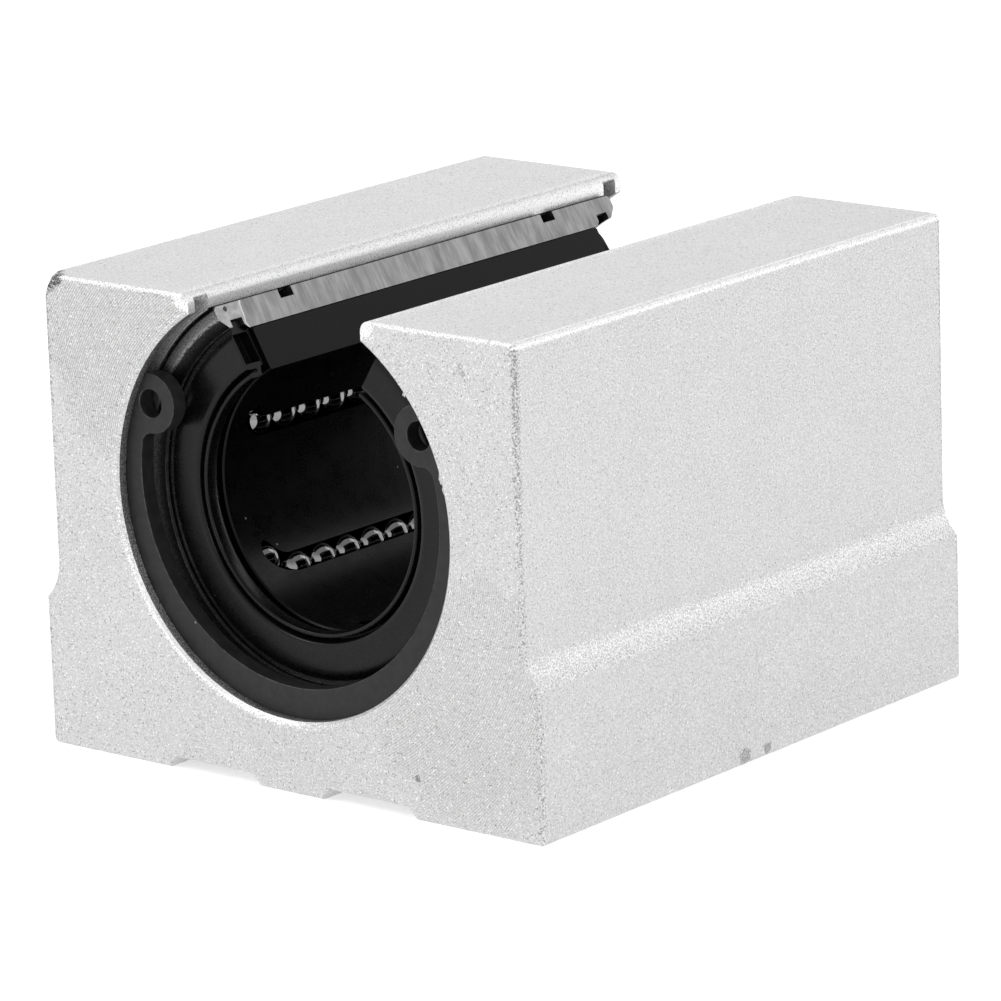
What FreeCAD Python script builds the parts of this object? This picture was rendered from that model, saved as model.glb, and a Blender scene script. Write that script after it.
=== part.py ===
import FreeCAD, Part
import math
import os

# Open linear bearing block for a 25 mm shaft that is carried on a rail from below its open side.
# Millimetres. X is across the shaft, Y is along it with the front at -Y, Z is up, away from the
# mounting face. The origin is the bottom centre of the mounting face. The slot for the shaft's
# rail opens upwards. Angles about the bore are degrees from +Z towards +X.

# ---- Driving dimensions: housing ----
SHAFT_D = 25.0
SHAFT_HEIGHT = 27.0
BLOCK_LENGTH = 65.0
BLOCK_HEIGHT = 46.0
FLANGE_WIDTH = 60.0
BODY_INSET = 1.65
FLANGE_SIDE_HEIGHT = 14.4
STEP_RADIUS = 5.0
EDGE_RADIUS = 0.5
SLOT_LIP_RADIUS = 1.0
SLOT_WIDTH = 20.7
END_CHAMFER = 0.25
RELIEF_INNER_X = 3.85
RELIEF_OUTER_X = 15.05
RELIEF_DEPTH = 1.05

# ---- Driving dimensions: mounting and locating threads (tap drill and thread envelope) ----
MOUNT_PITCH_X = 40.0
MOUNT_PITCH_Y = 40.0
MOUNT_DRILL_D = 5.0
MOUNT_THREAD_D = 6.0
MOUNT_DRILL_DEPTH = 14.0
DRILL_POINT_ANGLE = 118.0
SCREW_D = 5.0
SCREW_INSET = 1.35
SCREW_SOCKET_AF = 2.5
SCREW_SOCKET_DEPTH = 2.5
SCREW_TIP_D = 1.2
SCREW_BITE = 1.0

# ---- Driving dimensions: bearing insert ----
SLEEVE_D = 40.0
SLEEVE_LENGTH = 59.0
SLEEVE_RELIEF_D = 34.3
SLEEVE_END_BORE_D = 35.2
SLEEVE_END_CHAMFER = 0.4
SLEEVE_MOUTH_BEVEL = 1.0
BEARING_SLOT_ANGLE = 59.0
RING_GROOVE_INSET = 9.0
RING_GROOVE_WIDTH = 1.85
RING_GROOVE_DEPTH = 1.0
SEAL_GROOVE_D = 36.6
SEAL_GROOVE_WIDTH = 1.6
SEAL_GROOVE_INSET = 1.4
LAND_ANGLE = 12.0
RETAINER_BORE_D = 25.6
RETAINER_CHAMFER = 0.15

# ---- Driving dimensions: ball circuits ----
BALL_D = 3.572
CIRCUIT_COUNT = 5
CIRCUIT_PITCH = 62.0
FIRST_LOADED_ROW = -72.0
ROW_ANGLE = 20.0
TRACK_END_WALL = 1.265
# Travel from each circuit's first ball to the front of its loaded row: each has run on by itself.
FIRST_BALL_LEAD = (12.0, 14.3, 13.1, 12.4, 13.7)

# ---- Driving dimensions: seals and circlips ----
SEAL_RECESS = 1.0
SEAL_THICKNESS = 2.7
SEAL_CUT_BACK = 1.5
SEAL_LIP_LENGTH = 0.9
SEAL_LIP_RIM = 0.45
SEAL_MARK_DEPTH = 0.2
REAR_SEAL_TURN = -5.5
CIRCLIP_THICKNESS = 1.75
CIRCLIP_GROOVE_D = 42.5
CIRCLIP_GROOVE_WIDTH = 1.85
CIRCLIP_INNER_D = 36.0
CIRCLIP_INNER_RISE = 0.9
CIRCLIP_ROOT_RADIUS = 1.2
CIRCLIP_LUG_D = 5.8
CIRCLIP_HOLE_D = 2.7
CIRCLIP_LUG_ANGLE = 63.0
FRONT_CIRCLIP_TURN = -2.0

# ---- Clearances ----
TINY = 1e-6
FIT_CLEARANCE = 0.02
RUNNING_CLEARANCE = 0.01
BALL_TRACK_CLEARANCE = 0.08
LOOSE_CLEARANCE = 0.1
END_CLEARANCE = 0.05

# ---- Sizes that follow from them ----
AXIS_Z = SHAFT_HEIGHT
BODY_X = FLANGE_WIDTH / 2 - BODY_INSET
SHAFT_R = SHAFT_D / 2
BORE_R = SLEEVE_D / 2
SLEEVE_R = BORE_R - FIT_CLEARANCE
SLEEVE_RELIEF_R = SLEEVE_RELIEF_D / 2
BALL_R = BALL_D / 2
TRACK_R = BALL_R + BALL_TRACK_CLEARANCE
LOADED_ROW_R = SHAFT_R + RUNNING_CLEARANCE + BALL_R
LAND_R = LOADED_ROW_R + BALL_R + RUNNING_CLEARANCE
RETURN_ROW_R = SLEEVE_RELIEF_R - LOOSE_CLEARANCE / 2 - BALL_R
RETAINER_R = SLEEVE_RELIEF_R - LOOSE_CLEARANCE
ROW_TURN = math.radians(ROW_ANGLE)
ROW_DISTANCE = math.hypot(LOADED_ROW_R - RETURN_ROW_R * math.cos(ROW_TURN), RETURN_ROW_R * math.sin(ROW_TURN))
TURN_R = ROW_DISTANCE / 2
SEAL_FACE_Y = SLEEVE_LENGTH / 2 - SEAL_RECESS
SEAL_BACK_Y = SEAL_FACE_Y - SEAL_THICKNESS
RETAINER_LENGTH = 2 * (SEAL_BACK_Y - END_CLEARANCE)
RING_GROOVE_Y = SLEEVE_LENGTH / 2 - RING_GROOVE_INSET
CIRCLIP_Y = SLEEVE_LENGTH / 2 + END_CLEARANCE
ROW_LENGTH = RETAINER_LENGTH - 2 * (TURN_R + TRACK_R + TRACK_END_WALL)
SLOT_HALF_ANGLE = BEARING_SLOT_ANGLE / 2


def around_bore(radius, angle, y=0.0):
    """Point at a radius and angle about the bore axis, which lies on Y here."""
    turn = math.radians(angle)
    return FreeCAD.Vector(radius * math.sin(turn), y, radius * math.cos(turn))


def seated(shape):
    """Lift a shape made about the Y axis to the bore's height."""
    shape.translate(FreeCAD.Vector(0, 0, AXIS_Z))
    return shape


def turned(shape, angle):
    """Turn a shape about the Y axis by an angle of the kind used round the bore."""
    shape.rotate(FreeCAD.Vector(0, 0, 0), FreeCAD.Vector(0, 1, 0), angle)
    return shape


def cylinder_y(radius, y_from, y_to, x=0.0, z=0.0):
    """Round bar along Y."""
    return Part.makeCylinder(radius, y_to - y_from, FreeCAD.Vector(x, y_from, z), FreeCAD.Vector(0, 1, 0))


def revolved(profile, angle=360.0):
    """Revolve a closed profile of (radius, y) corners about the Y axis, centred on +Z."""
    corners = [FreeCAD.Vector(0, y, radius) for radius, y in profile]
    face = Part.Face(Part.makePolygon(corners + corners[:1]))
    solid = face.revolve(FreeCAD.Vector(0, 0, 0), FreeCAD.Vector(0, 1, 0), angle)
    if angle < 360.0:
        turned(solid, -angle / 2)
    return solid


def slot_wedge(half_angle, length):
    """Wedge whose two faces are radial, for the opening of the insert's pieces."""
    reach = 2 * BORE_R
    corners = [
        FreeCAD.Vector(0, -length / 2, 0),
        around_bore(reach, -half_angle, -length / 2),
        around_bore(reach / math.cos(math.radians(half_angle)), 0, -length / 2),
        around_bore(reach, half_angle, -length / 2),
    ]
    face = Part.Face(Part.makePolygon(corners + corners[:1]))
    return face.extrude(FreeCAD.Vector(0, length, 0))


def line(start, end):
    """Straight edge of the housing's section, from (x, z) to (x, z)."""
    return Part.LineSegment(FreeCAD.Vector(start[0], 0, start[1]), FreeCAD.Vector(end[0], 0, end[1])).toShape()


def arc(centre, radius, from_angle, to_angle):
    """Arc of the housing's section, with angles in degrees from +Z towards +X."""
    points = []
    for angle in (from_angle, (from_angle + to_angle) / 2, to_angle):
        offset = around_bore(radius, angle)
        points.append(FreeCAD.Vector(centre[0] + offset.x, 0, centre[1] + offset.z))
    return Part.Arc(*points).toShape()


def housing_half_outline():
    """Right half of the outer section, from the middle of the mounting face to the middle of the top."""
    flange_x = FLANGE_WIDTH / 2
    top = BLOCK_HEIGHT
    step_reach = STEP_RADIUS - BODY_INSET
    step_angle = math.degrees(math.acos(step_reach / STEP_RADIUS))
    step_top = FLANGE_SIDE_HEIGHT + math.sqrt(STEP_RADIUS ** 2 - step_reach ** 2)
    edge = EDGE_RADIUS
    return [
        line((0, 0), (RELIEF_INNER_X, 0)),
        line((RELIEF_INNER_X, 0), (RELIEF_INNER_X + RELIEF_DEPTH, RELIEF_DEPTH)),
        line((RELIEF_INNER_X + RELIEF_DEPTH, RELIEF_DEPTH), (RELIEF_OUTER_X - RELIEF_DEPTH, RELIEF_DEPTH)),
        line((RELIEF_OUTER_X - RELIEF_DEPTH, RELIEF_DEPTH), (RELIEF_OUTER_X, 0)),
        line((RELIEF_OUTER_X, 0), (flange_x - edge, 0)),
        arc((flange_x - edge, edge), edge, 180, 90),
        line((flange_x, edge), (flange_x, FLANGE_SIDE_HEIGHT)),
        arc((BODY_X + STEP_RADIUS, step_top), STEP_RADIUS, 270 - step_angle, 270),
        line((BODY_X, step_top), (BODY_X, top - edge)),
        arc((BODY_X - edge, top - edge), edge, 90, 0),
        line((BODY_X - edge, top), (0, top)),
    ]


def rail_slot():
    """Straight-walled opening from the bore up through the top, for the shaft's rail."""
    corner = FreeCAD.Vector(-SLOT_WIDTH / 2, -BLOCK_LENGTH / 2, AXIS_Z)
    return Part.makeBox(SLOT_WIDTH, BLOCK_LENGTH, BLOCK_HEIGHT - AXIS_Z, corner)


def is_slot_lip(edge):
    """Whether an edge is one of the two long edges where the slot leaves the top."""
    box = edge.BoundBox
    along_shaft = max(box.XLength, box.ZLength) < TINY
    return along_shaft and abs(box.ZMax - BLOCK_HEIGHT) < TINY and abs(box.XMax) < BORE_R


def is_end_edge(edge):
    """Whether an edge lies in one of the block's two end faces."""
    return edge.BoundBox.YLength < TINY and abs(abs(edge.BoundBox.YMin) - BLOCK_LENGTH / 2) < TINY


def mounting_hole(x, y):
    """Tapped hole from the mounting face, at its tap drill, with a drill point and a bevelled mouth."""
    drill_r = MOUNT_DRILL_D / 2
    thread_r = MOUNT_THREAD_D / 2
    point = drill_r / math.tan(math.radians(DRILL_POINT_ANGLE / 2))
    corners = [
        FreeCAD.Vector(0, 0, 0),
        FreeCAD.Vector(thread_r, 0, 0),
        FreeCAD.Vector(drill_r, 0, thread_r - drill_r),
        FreeCAD.Vector(drill_r, 0, MOUNT_DRILL_DEPTH),
        FreeCAD.Vector(0, 0, MOUNT_DRILL_DEPTH + point),
    ]
    face = Part.Face(Part.makePolygon(corners + corners[:1]))
    hole = face.revolve(FreeCAD.Vector(0, 0, 0), FreeCAD.Vector(0, 0, 1), 360)
    hole.translate(FreeCAD.Vector(x, y, 0))
    return hole


def circlip_groove(side):
    """Groove cut in the bore for a circlip, just outside the sleeve's end on one side."""
    inner = SLEEVE_LENGTH / 2
    outer = inner + CIRCLIP_GROOVE_WIDTH
    groove = cylinder_y(CIRCLIP_GROOVE_D / 2, min(side * inner, side * outer), max(side * inner, side * outer))
    return seated(groove)


def locating_bore(clearance):
    """Round hole in from the left side to the bore, on the bore's height."""
    start = FreeCAD.Vector(-FLANGE_WIDTH / 2, 0, AXIS_Z)
    return Part.makeCylinder(SCREW_D / 2 + clearance, FLANGE_WIDTH / 2, start, FreeCAD.Vector(1, 0, 0))


def housing():
    """Extruded aluminium block with its bore, slot, grooves and threads."""
    half = housing_half_outline()
    mirrored = [edge.mirror(FreeCAD.Vector(0, 0, 0), FreeCAD.Vector(1, 0, 0)) for edge in half]
    outline = Part.Wire(Part.__sortEdges__(half + mirrored))
    outline.translate(FreeCAD.Vector(0, -BLOCK_LENGTH / 2, 0))
    block = Part.Face(outline).extrude(FreeCAD.Vector(0, BLOCK_LENGTH, 0)).removeSplitter()
    block = block.cut([seated(cylinder_y(BORE_R, -BLOCK_LENGTH / 2, BLOCK_LENGTH / 2)), rail_slot()]).Solids[0]
    block = block.makeFillet(SLOT_LIP_RADIUS, [edge for edge in block.Edges if is_slot_lip(edge)])
    block = block.makeChamfer(END_CHAMFER, [edge for edge in block.Edges if is_end_edge(edge)])
    cuts = [circlip_groove(-1), circlip_groove(1), locating_bore(FIT_CLEARANCE)]
    for x in (-MOUNT_PITCH_X / 2, MOUNT_PITCH_X / 2):
        for y in (-MOUNT_PITCH_Y / 2, MOUNT_PITCH_Y / 2):
            cuts.append(mounting_hole(x, y))
    return block.cut(cuts)


def screw_profile_cone(clearance):
    """Cone point of the locating screw, or the dimple that it sits in when there is a clearance."""
    tip_x = -SLEEVE_R + SCREW_BITE + clearance
    tip_r = SCREW_TIP_D / 2 + clearance
    base_r = SCREW_D / 2
    start = FreeCAD.Vector(tip_x - (base_r - tip_r), 0, AXIS_Z)
    return Part.makeCone(base_r, tip_r, base_r - tip_r, start, FreeCAD.Vector(1, 0, 0))


def locating_screw():
    """Socket set screw in the left side, whose cone point sits in the sleeve's dimple."""
    tip_x = -SLEEVE_R + SCREW_BITE
    base_r = SCREW_D / 2
    head_x = SCREW_INSET - BODY_X
    body_length = tip_x - head_x - (base_r - SCREW_TIP_D / 2)
    body = Part.makeCylinder(base_r, body_length, FreeCAD.Vector(head_x, 0, AXIS_Z), FreeCAD.Vector(1, 0, 0))
    screw = body.fuse(screw_profile_cone(0.0)).removeSplitter()
    corner_r = SCREW_SOCKET_AF / 2 / math.cos(math.radians(30))
    corners = []
    for index in range(6):
        turn = math.radians(60 * index)
        corners.append(FreeCAD.Vector(head_x, corner_r * math.cos(turn), AXIS_Z + corner_r * math.sin(turn)))
    socket = Part.Face(Part.makePolygon(corners + corners[:1]))
    return screw.cut(socket.extrude(FreeCAD.Vector(SCREW_SOCKET_DEPTH, 0, 0)))


def loaded_row_angle(circuit):
    """Angle of a circuit's loaded row about the bore."""
    return FIRST_LOADED_ROW - CIRCUIT_PITCH * circuit


def outer_sleeve():
    """Hardened steel sleeve with ring grooves outside, and a raceway land for each loaded row."""
    end = SLEEVE_LENGTH / 2
    chamfer = SLEEVE_END_CHAMFER
    end_bore_r = SLEEVE_END_BORE_D / 2
    seal_groove_r = SEAL_GROOVE_D / 2
    groove_out = end - SEAL_GROOVE_INSET
    groove_in = groove_out - SEAL_GROOVE_WIDTH
    entry = end_bore_r - SLEEVE_RELIEF_R
    right = [
        (SLEEVE_RELIEF_R, groove_in - entry),
        (end_bore_r, groove_in),
        (seal_groove_r, groove_in),
        (seal_groove_r, groove_out),
        (end_bore_r, groove_out),
        (end_bore_r, end - SLEEVE_MOUTH_BEVEL),
        (end_bore_r + SLEEVE_MOUTH_BEVEL, end),
        (SLEEVE_R - chamfer, end),
        (SLEEVE_R, end - chamfer),
        (SLEEVE_R, RING_GROOVE_Y),
        (SLEEVE_R - RING_GROOVE_DEPTH, RING_GROOVE_Y),
        (SLEEVE_R - RING_GROOVE_DEPTH, RING_GROOVE_Y - RING_GROOVE_WIDTH),
        (SLEEVE_R, RING_GROOVE_Y - RING_GROOVE_WIDTH),
    ]
    left = [(radius, -y) for radius, y in reversed(right)]
    sleeve = revolved(right + left)
    lands = [turned(raceway_land(), loaded_row_angle(circuit)) for circuit in range(CIRCUIT_COUNT)]
    sleeve = sleeve.fuse(lands)
    sleeve = sleeve.cut(slot_wedge(SLOT_HALF_ANGLE, 2 * SLEEVE_LENGTH))
    return seated(sleeve).cut(screw_profile_cone(END_CLEARANCE))


def raceway_land():
    """Raised strip inside the sleeve that the loaded balls of one circuit roll on, with ramped ends."""
    end = ROW_LENGTH / 2
    root_r = (SLEEVE_RELIEF_R + SLEEVE_R) / 2
    ramp = SLEEVE_RELIEF_R - LAND_R
    profile = [
        (LAND_R, -end),
        (LAND_R, end),
        (SLEEVE_RELIEF_R, end + ramp),
        (root_r, end + ramp),
        (root_r, -end - ramp),
        (SLEEVE_RELIEF_R, -end - ramp),
    ]
    return revolved(profile, LAND_ANGLE)


class Circuit:
    """Closed path of one ball circuit: a loaded row, a return row and two half-round turns.

    The rows lie along Y on both sides of the circuit's middle. The turns lie in the plane
    through both rows, so that they lift the balls from the shaft out to the return row.
    """

    def __init__(self, number):
        loaded_angle = loaded_row_angle(number)
        self.loaded = around_bore(LOADED_ROW_R, loaded_angle)
        self.back = around_bore(RETURN_ROW_R, loaded_angle + ROW_ANGLE)
        self.middle = (self.loaded + self.back) * 0.5
        self.across = (self.back - self.middle).normalize()
        self.outward = FreeCAD.Vector(0, 1, 0).cross(self.across)
        if self.outward.dot(self.middle) < 0:
            self.outward = self.outward * -1
        self.turn_length = math.pi * TURN_R
        self.length = 2 * (ROW_LENGTH + self.turn_length)
        self.first = -FIRST_BALL_LEAD[number % len(FIRST_BALL_LEAD)]

    def point(self, travel):
        """Name of the stretch and place of a ball centre at a travel along the path."""
        travel %= self.length
        half = ROW_LENGTH / 2
        if travel < ROW_LENGTH:
            return "loaded", self.loaded + FreeCAD.Vector(0, travel - half, 0)
        travel -= ROW_LENGTH
        if travel < self.turn_length:
            return "rear_turn", self.turn_point(travel / TURN_R, half, 1)
        travel -= self.turn_length
        if travel < ROW_LENGTH:
            return "return", self.back + FreeCAD.Vector(0, half - travel, 0)
        travel -= ROW_LENGTH
        return "front_turn", self.turn_point(math.pi - travel / TURN_R, half, -1)

    def turn_point(self, angle, half, side):
        """Ball centre in a turn, by its angle from the loaded row."""
        sideways = self.across * (-TURN_R * math.cos(angle))
        along = FreeCAD.Vector(0, side * (half + TURN_R * math.sin(angle)), 0)
        return self.middle + sideways + along

    def next_travel(self, travel):
        """Travel of the ball that just clears the one before it, measured straight between them."""
        spacing = BALL_D + RUNNING_CLEARANCE
        here = self.point(travel)[1]
        low = travel
        high = travel + 2 * spacing
        for _ in range(50):
            guess = (low + high) / 2
            if self.point(guess)[1].distanceToPoint(here) < spacing:
                low = guess
            else:
                high = guess
        return high

    def balls(self):
        """Balls packed one behind the other round the path, grouped by stretch."""
        groups = {"loaded": [], "rear_turn": [], "return": [], "front_turn": []}
        travel = self.first
        last = self.first + self.length - BALL_D - RUNNING_CLEARANCE
        while travel <= last:
            stretch, centre = self.point(travel)
            ball = Part.makeSphere(BALL_R, centre)
            groups[stretch].append(ball)
            travel = self.next_travel(travel)
        return groups

    def channel_section(self, centre):
        """Section of the ball channel at a row: a round bottom and straight walls outwards."""
        side = self.across * TRACK_R
        rise = self.outward * (2 * BALL_D)
        bottom = Part.Arc(centre - side, centre - self.outward * TRACK_R, centre + side).toShape()
        walls = Part.makePolygon([centre + side, centre + side + rise, centre - side + rise, centre - side])
        return Part.Face(Part.Wire([bottom] + walls.Edges))

    def track(self):
        """Closed channel for the balls, open outwards to the sleeve."""
        half = ROW_LENGTH / 2
        runs = []
        for row in (self.loaded, self.back):
            start = row - FreeCAD.Vector(0, half, 0)
            runs.append(self.channel_section(start).extrude(FreeCAD.Vector(0, ROW_LENGTH, 0)))
        spin = self.outward if self.outward.cross(self.across).y < 0 else self.outward * -1
        for side in (-1, 1):
            middle = self.middle + FreeCAD.Vector(0, side * half, 0)
            start = self.loaded + FreeCAD.Vector(0, side * half, 0)
            runs.append(self.channel_section(start).revolve(middle, spin * side, 180))
        return runs[0].fuse(runs[1:]).removeSplitter()


def ball_retainer(circuits):
    """Moulded retainer between the sleeve and the shaft, with a channel for each circuit."""
    end = RETAINER_LENGTH / 2
    bore_r = RETAINER_BORE_D / 2
    chamfer = RETAINER_CHAMFER
    profile = [
        (bore_r, -end + chamfer),
        (bore_r, end - chamfer),
        (bore_r + chamfer, end),
        (RETAINER_R - chamfer, end),
        (RETAINER_R, end - chamfer),
        (RETAINER_R, -end + chamfer),
        (RETAINER_R - chamfer, -end),
        (bore_r + chamfer, -end),
    ]
    body = revolved(profile)
    tools = [slot_wedge(SLOT_HALF_ANGLE, 2 * RETAINER_LENGTH)]
    for number, circuit in enumerate(circuits):
        tools.append(circuit.track())
        tools.append(turned(land_relief(), loaded_row_angle(number)))
    return seated(body.cut(tools))


def land_relief():
    """Shallow clearance in the retainer's outside for one raceway land of the sleeve."""
    end = ROW_LENGTH / 2 + SLEEVE_RELIEF_R - LAND_R + LOOSE_CLEARANCE
    floor_r = LAND_R - LOOSE_CLEARANCE
    side_angle = math.degrees(2 * LOOSE_CLEARANCE / LAND_R)
    profile = [(floor_r, -end), (floor_r, end), (SLEEVE_R, end), (SLEEVE_R, -end)]
    return revolved(profile, LAND_ANGLE + 2 * side_angle)


def seal(side, turn):
    """Moulded rubber end seal: a flat face, a bead in the sleeve's groove and a lip on the shaft."""
    face_y = SEAL_FACE_Y
    flange_r = SLEEVE_END_BORE_D / 2 - LOOSE_CLEARANCE
    bead_r = SEAL_GROOVE_D / 2 - LOOSE_CLEARANCE
    body_r = SLEEVE_RELIEF_R - LOOSE_CLEARANCE
    groove_out = SLEEVE_LENGTH / 2 - SEAL_GROOVE_INSET - LOOSE_CLEARANCE
    groove_in = groove_out - SEAL_GROOVE_WIDTH + 2 * LOOSE_CLEARANCE
    shoulder_in = groove_in - (flange_r - body_r)
    lip_r = SHAFT_R + RUNNING_CLEARANCE
    rim_r = lip_r + SEAL_LIP_RIM
    mark = SEAL_MARK_DEPTH
    lip_out = face_y - mark
    lip_in = lip_out - SEAL_LIP_LENGTH
    hollow_r = rim_r + 2 * mark
    profile = [
        (lip_r, lip_in),
        (lip_r, lip_out),
        (lip_r + mark, face_y),
        (rim_r - mark / 2, face_y),
        (rim_r, face_y - mark),
        (rim_r + mark / 2, face_y),
        (flange_r, face_y),
        (flange_r, groove_out),
        (bead_r, groove_out),
        (bead_r, groove_in),
        (flange_r, groove_in),
        (body_r, shoulder_in),
        (body_r, SEAL_BACK_Y),
        (hollow_r, SEAL_BACK_Y),
        (hollow_r, lip_in - (hollow_r - lip_r)),
    ]
    ring = revolved([(radius, side * y) for radius, y in profile])
    opening = slot_wedge(SLOT_HALF_ANGLE + SEAL_CUT_BACK, 2 * SLEEVE_LENGTH)
    return seated(turned(ring.cut(opening), turn))


def circlip(side, turn):
    """Internal circlip with two holed lugs, wider at the bottom than at its ends."""
    ring_r = CIRCLIP_GROOVE_D / 2 - LOOSE_CLEARANCE
    lug_r = CIRCLIP_LUG_D / 2
    y_near = min(side * CIRCLIP_Y, side * (CIRCLIP_Y + CIRCLIP_THICKNESS))
    y_far = y_near + CIRCLIP_THICKNESS
    ring = cylinder_y(ring_r, y_near, y_far)
    ring = ring.cut(cylinder_y(CIRCLIP_INNER_D / 2, y_near, y_far, 0.0, CIRCLIP_INNER_RISE))
    ring = ring.cut(slot_wedge(CIRCLIP_LUG_ANGLE, 2 * BLOCK_LENGTH))
    lugs = []
    holes = []
    for lug_angle in (-CIRCLIP_LUG_ANGLE, CIRCLIP_LUG_ANGLE):
        place = around_bore(ring_r - lug_r, lug_angle)
        lugs.append(cylinder_y(lug_r, y_near, y_far, place.x, place.z))
        holes.append(cylinder_y(CIRCLIP_HOLE_D / 2, y_near, y_far, place.x, place.z))
    blank = ring.fuse(lugs).removeSplitter().Solids[0]
    middle = FreeCAD.Vector(0, 0, CIRCLIP_INNER_RISE)
    roots = [edge for edge in blank.Edges if is_lug_root(edge, middle)]
    return seated(turned(blank.makeFillet(CIRCLIP_ROOT_RADIUS, roots).cut(holes), turn))


def is_lug_root(edge, middle):
    """Whether an edge is a corner where a lug meets the circlip's inner edge."""
    box = edge.BoundBox
    through = max(box.XLength, box.ZLength) < TINY
    away = math.hypot(box.Center.x - middle.x, box.Center.z - middle.z)
    return through and abs(away - CIRCLIP_INNER_D / 2) < TINY


def export(name, shape):
    """Write one sub-part, after a check that each of its solids is sound."""
    assert shape.Solids, name + " has no solid"
    assert all(solid.isValid() for solid in shape.Solids), name + " has a faulty solid"
    shape.exportStep(os.path.join("parts", name + ".step"))


def main():
    """Build every sub-part of the bearing block and write its STEP file."""
    os.makedirs("parts", exist_ok=True)
    circuits = [Circuit(number) for number in range(CIRCUIT_COUNT)]
    export("housing", housing())
    export("outer_sleeve", outer_sleeve())
    export("ball_retainer", ball_retainer(circuits))
    export("front_seal", seal(-1, 0.0))
    export("rear_seal", seal(1, REAR_SEAL_TURN))
    export("front_circlip", circlip(-1, FRONT_CIRCLIP_TURN))
    export("rear_circlip", circlip(1, 0.0))
    export("locating_screw", locating_screw())
    for number, circuit in enumerate(circuits, start=1):
        for stretch, balls in circuit.balls().items():
            export(stretch + "_balls_" + str(number), seated(Part.makeCompound(balls)))


main()
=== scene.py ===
"""Looks of an open linear bearing block: refined pieces, finishes, studio and camera.

Metres. X is across the shaft, Y is along it with the front at -Y, Z is up from the mounting face.
"""

import logging
import math
from dataclasses import dataclass
from enum import Enum
from typing import Any

import bpy
from mathutils import Matrix, Vector


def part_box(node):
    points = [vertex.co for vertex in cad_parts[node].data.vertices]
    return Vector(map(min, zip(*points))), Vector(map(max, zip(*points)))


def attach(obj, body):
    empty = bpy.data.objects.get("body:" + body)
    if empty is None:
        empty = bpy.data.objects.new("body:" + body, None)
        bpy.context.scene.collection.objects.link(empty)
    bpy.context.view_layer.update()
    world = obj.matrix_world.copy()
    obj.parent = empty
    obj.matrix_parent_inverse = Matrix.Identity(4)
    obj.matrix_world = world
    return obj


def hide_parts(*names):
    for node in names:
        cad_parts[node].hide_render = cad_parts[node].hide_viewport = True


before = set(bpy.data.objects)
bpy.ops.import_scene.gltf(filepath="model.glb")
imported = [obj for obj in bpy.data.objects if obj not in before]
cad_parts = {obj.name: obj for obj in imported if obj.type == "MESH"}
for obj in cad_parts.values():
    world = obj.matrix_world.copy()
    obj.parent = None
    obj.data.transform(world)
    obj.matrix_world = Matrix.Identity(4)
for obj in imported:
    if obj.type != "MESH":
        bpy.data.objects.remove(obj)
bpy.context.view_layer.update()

LOG = logging.getLogger("bearing_block")
BODY = "root"
MM = 0.001
BORE_AXIS_HEIGHT = 27.0 * MM
JOIN_DISTANCE = 0.0005 * MM
FLANGE_X, END_Y, TOP_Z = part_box("housing")[1]
SLEEVE_END_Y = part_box("outer_sleeve")[1].y
SEAL_FACE_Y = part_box("rear_seal")[1].y

Place = tuple[float, float, float]
Socket = bpy.types.NodeSocket
Value = Socket | float


class Stretch(Enum):
    """The four stretches of a ball circuit, as the nodes are named."""

    LOADED = "loaded"
    REAR_TURN = "rear_turn"
    RETURN = "return"
    FRONT_TURN = "front_turn"


class End(Enum):
    """The two ends of the block, as the nodes are named."""

    FRONT = "front"
    REAR = "rear"

    @property
    def side(self) -> int:
        """Sign of the end's Y."""
        return -1 if self is End.FRONT else 1


def linear(hex_colour: str) -> tuple[float, float, float, float]:
    """Turn an sRGB hex colour into linear RGBA.

    Args:
        hex_colour: Colour as "#rrggbb".

    Returns:
        Linear red, green, blue and an alpha of 1.
    """
    channels = []
    for start in (1, 3, 5):
        value = int(hex_colour[start:start + 2], 16) / 255
        channels.append(value / 12.92 if value <= 0.04045 else ((value + 0.055) / 1.055) ** 2.4)
    return channels[0], channels[1], channels[2], 1.0


class Nodes:
    """The shader nodes of a material or a world, which start out empty."""

    def __init__(self, owner: bpy.types.ID) -> None:
        """Empty the owner's node tree.

        Args:
            owner: The material or world.
        """
        owner.use_nodes = True
        self.tree = owner.node_tree
        self.tree.nodes.clear()

    def add(
        self,
        kind: str,
        inputs: dict[int | str, Any] | list[Any] | None = None,
        settings: dict[str, str] | None = None,
    ) -> bpy.types.bpy_prop_collection:
        """Add a node with its settings and links.

        Args:
            kind: Node type, without its "ShaderNode".
            inputs: Value or source socket for each input, in order, or by name or number.
            settings: Values of the node's own properties.

        Returns:
            The new node's outputs.
        """
        made = self.tree.nodes.new(f"ShaderNode{kind}")
        for name, setting in (settings or {}).items():
            setattr(made, name, setting)
        given = inputs.items() if isinstance(inputs, dict) else enumerate(inputs or [])
        for key, value in given:
            if isinstance(value, Socket):
                self.tree.links.new(value, made.inputs[key])
            else:
                made.inputs[key].default_value = value
        return made.outputs


# Settings of the nodes that the patterns are worked out with.
PLUS = {"operation": "ADD"}
MINUS = {"operation": "SUBTRACT"}
TIMES = {"operation": "MULTIPLY"}
TIMES_PLUS = {"operation": "MULTIPLY_ADD"}
LARGER = {"operation": "MAXIMUM"}
UNSIGNED = {"operation": "ABSOLUTE"}
SINE = {"operation": "SINE"}
LENGTH = {"operation": "LENGTH"}
DISTANCE = {"operation": "DISTANCE"}
SCALED = {"operation": "SCALE"}
SOFT = {"interpolation_type": "SMOOTHSTEP"}
COLOURS = {"data_type": "RGBA"}

# Sockets of the colours in a Mix node, and the values that most of a noise lies between.
UNDER, OVER, MIXED = 6, 7, 2
NOISE = (0.3, 0.7)


# ---- Finishes ----


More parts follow.
